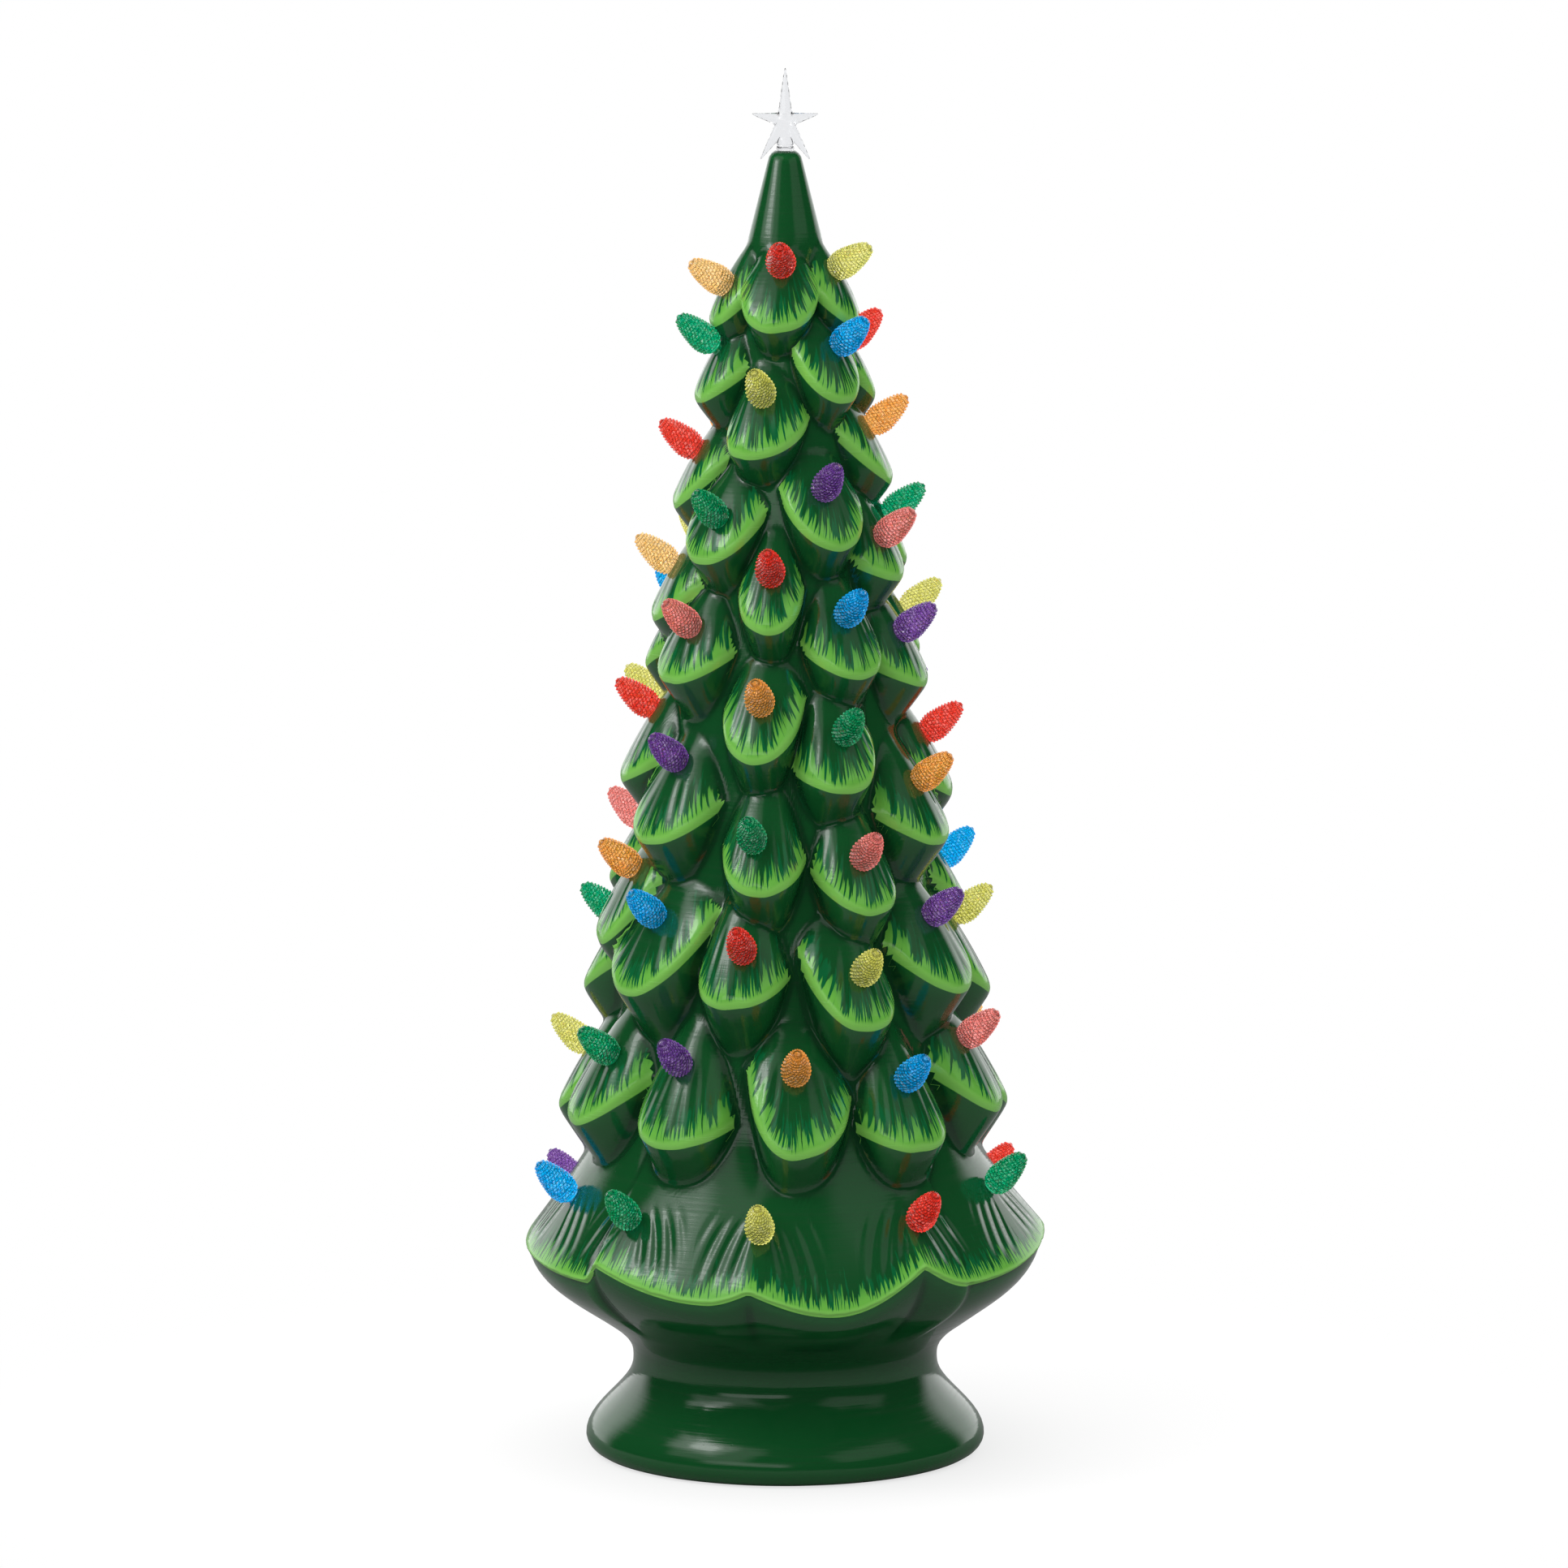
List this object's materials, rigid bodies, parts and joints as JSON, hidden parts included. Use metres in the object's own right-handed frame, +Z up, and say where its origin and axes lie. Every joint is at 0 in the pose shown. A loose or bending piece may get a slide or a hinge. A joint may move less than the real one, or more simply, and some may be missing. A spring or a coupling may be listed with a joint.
{
  "type": "lighted tabletop christmas tree",
  "caption": "Tall slim glazed ceramic tree with layered scalloped branches, faceted plug-in bulbs, a clear star, and a battery light drive in its hollow foot.",
  "frame": {"origin": "middle of the foot, on the table", "axes": "+Z up the tree's axis, the front towards -Y, +X to the right of one who faces the front"},
  "size_m": [0.231, 0.2328, 0.61],
  "materials": {
    "glazed_ceramic": "glossy dark green glaze with light green brushed rims",
    "clear_star": "clear moulded plastic",
    "bulb_red": "translucent faceted plastic",
    "bulb_rose": "translucent faceted plastic",
    "bulb_amber": "translucent faceted plastic",
    "bulb_orange": "translucent faceted plastic",
    "bulb_yellow": "translucent faceted plastic",
    "bulb_green": "translucent faceted plastic",
    "bulb_blue": "translucent faceted plastic",
    "bulb_purple": "translucent faceted plastic",
    "black_plastic": "fine moulded texture",
    "white_plastic": "satin",
    "plated_metal": "nickel plated",
    "board_laminate": "solder mask",
    "cell_jacket": "foil jacket",
    "red_insulation": "smooth",
    "black_insulation": "smooth"
  },
  "bodies": {
    "tree": {"ceramic_shell": "glazed_ceramic", "base_plate": "black_plastic", "switch_body": "plated_metal", "circuit_board": "board_laminate", "lamp_post": "white_plastic", "led_module_lower": "white_plastic", "led_module_middle": "white_plastic", "led_module_upper": "white_plastic", "battery_cell_1": "cell_jacket", "battery_cell_2": "cell_jacket", "battery_cell_3": "cell_jacket", "contact_negative": "plated_metal", "contact_bridge_left": "plated_metal", "contact_bridge_right": "plated_metal", "contact_positive": "plated_metal", "wire_red": "red_insulation", "wire_black": "black_insulation", "bulb_01_red": "bulb_red", "bulb_02_yellow": "bulb_yellow", "bulb_03_amber": "bulb_amber", "bulb_04_blue": "bulb_blue", "bulb_05_green": "bulb_green", "bulb_06_yellow": "bulb_yellow", "bulb_07_orange": "bulb_orange", "bulb_08_red": "bulb_red", "bulb_09_purple": "bulb_purple", "bulb_10_green": "bulb_green", "bulb_11_green": "bulb_green", "bulb_12_rose": "bulb_rose", "bulb_13_amber": "bulb_amber", "bulb_14_red": "bulb_red", "bulb_15_blue": "bulb_blue", "bulb_16_rose": "bulb_rose", "bulb_17_purple": "bulb_purple", "bulb_18_orange": "bulb_orange", "bulb_19_green": "bulb_green", "bulb_20_red": "bulb_red", "bulb_21_red": "bulb_red", "bulb_22_purple": "bulb_purple", "bulb_23_orange": "bulb_orange", "bulb_24_green": "bulb_green", "bulb_25_rose": "bulb_rose", "bulb_26_orange": "bulb_orange", "bulb_27_blue": "bulb_blue", "bulb_28_red": "bulb_red", "bulb_29_yellow": "bulb_yellow", "bulb_30_purple": "bulb_purple", "bulb_31_green": "bulb_green", "bulb_32_purple": "bulb_purple", "bulb_33_orange": "bulb_orange", "bulb_34_blue": "bulb_blue", "bulb_35_rose": "bulb_rose", "bulb_36_blue": "bulb_blue", "bulb_37_green": "bulb_green", "bulb_38_yellow": "bulb_yellow", "bulb_39_red": "bulb_red", "bulb_40_green": "bulb_green"},
    "star": {"star_topper": "clear_star"},
    "battery_door": {"battery_door": "black_plastic"},
    "switch": {"switch_slider": "white_plastic"}
  },
  "joints": [
    {"name": "star_lift", "type": "slide", "parent": "tree", "child": "star", "axis": [0, 0, 1], "range_m": [0, 0.013]},
    {"name": "battery_door_hinge", "type": "hinge", "parent": "tree", "child": "battery_door", "pos_m": [0, 0.02954, 0.0079], "axis": [1, 0, 0], "range_deg": [0, 90]},
    {"name": "switch_slide", "type": "slide", "parent": "tree", "child": "switch", "axis": [1, 0, 0], "range_m": [-0.0025, 0.0025]}
  ]
}
